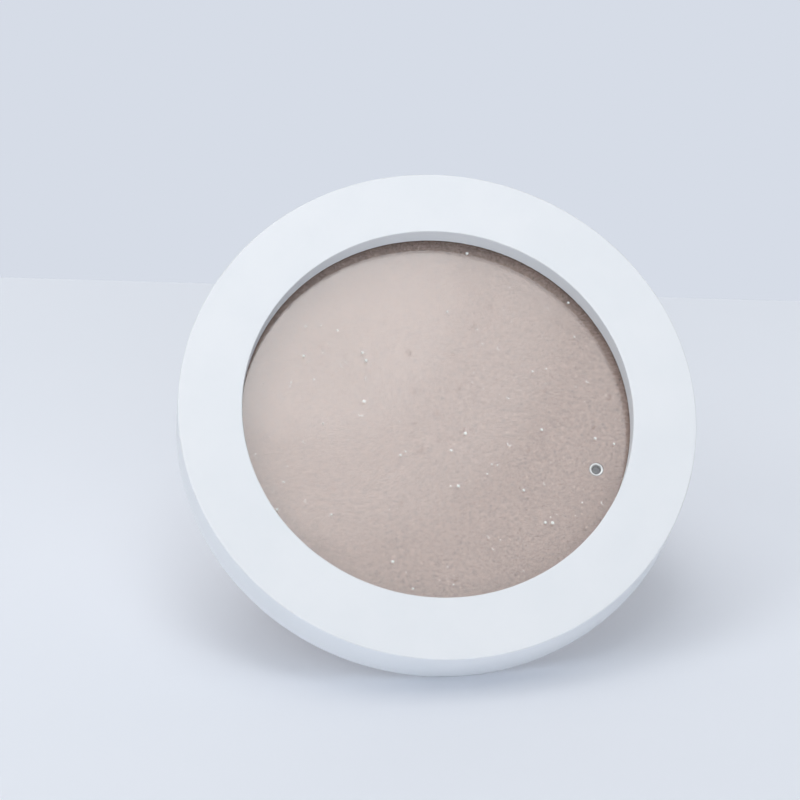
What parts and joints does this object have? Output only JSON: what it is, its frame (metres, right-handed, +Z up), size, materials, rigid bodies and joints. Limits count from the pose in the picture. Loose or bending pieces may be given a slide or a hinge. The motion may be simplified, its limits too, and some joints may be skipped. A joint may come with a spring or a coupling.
{
  "type": "round photo frame",
  "caption": "Round photo frame: a flat white ring round a clear sheet and a bare fibreboard back, leaning on a folding leg, with a wall hanger and turn buttons behind.",
  "frame": {"origin": "middle of the standing frame's floor rectangle, on the table", "axes": "+Z up, +X across the face to its right, the face looks towards -Y and up"},
  "size_m": [0.177, 0.14, 0.1362],
  "materials": {
    "white_paint": "satin white paint on fibreboard",
    "clear_sheet": "clear, lightly dusted",
    "fibreboard": "bare fibreboard, reddish brown",
    "leg_board": "bare fibreboard, reddish brown",
    "plated_steel": "zinc plated",
    "nickel_wire": "nickel plated wire",
    "screw_steel": "nickel plated, slightly warm"
  },
  "bodies": {
    "frame": {"frame_ring": "white_paint", "glazing_sheet": "clear_sheet", "backing_board": "fibreboard", "button_screws": "screw_steel", "hanger_strap": "plated_steel", "hanger_rivet": "nickel_wire", "hinge_board_leaf": "plated_steel", "hinge_pin": "nickel_wire"},
    "leg": {"easel_leg": "leg_board", "hinge_leg_leaf": "plated_steel", "leg_rivets": "nickel_wire"},
    "triangle": {"hanger_triangle": "nickel_wire"},
    "button_upper_right": {"turn_button_upper_right": "plated_steel"},
    "button_upper_left": {"turn_button_upper_left": "plated_steel"},
    "button_lower_left": {"turn_button_lower_left": "plated_steel"},
    "button_lower_right": {"turn_button_lower_right": "plated_steel"}
  },
  "joints": [
    {"name": "leg_fold", "type": "hinge", "parent": "frame", "child": "leg", "pos_m": [0, 0.03623, 0.09538], "axis": [1, 0, 0], "range_deg": [-52, 0]},
    {"name": "triangle_swing", "type": "hinge", "parent": "frame", "child": "triangle", "pos_m": [0.05977, -0.01318, 0.04804], "axis": [0.3649, 0.6697, 0.6468], "range_deg": [-70.5, 95]},
    {"name": "upper_right_turn", "type": "hinge", "parent": "frame", "child": "button_upper_right", "pos_m": [0.05339, 0.04115, 0.10235], "axis": [0, -0.6947, 0.7193], "range_deg": [-90, 90]},
    {"name": "upper_left_turn", "type": "hinge", "parent": "frame", "child": "button_upper_left", "pos_m": [-0.05339, 0.04115, 0.10235], "axis": [0, -0.6947, 0.7193], "range_deg": [-90, 90]},
    {"name": "lower_left_turn", "type": "hinge", "parent": "frame", "child": "button_lower_left", "pos_m": [-0.05339, -0.03566, 0.02818], "axis": [0, -0.6947, 0.7193], "range_deg": [-90, 90]},
    {"name": "lower_right_turn", "type": "hinge", "parent": "frame", "child": "button_lower_right", "pos_m": [0.05339, -0.03566, 0.02818], "axis": [0, -0.6947, 0.7193], "range_deg": [-90, 90]}
  ]
}
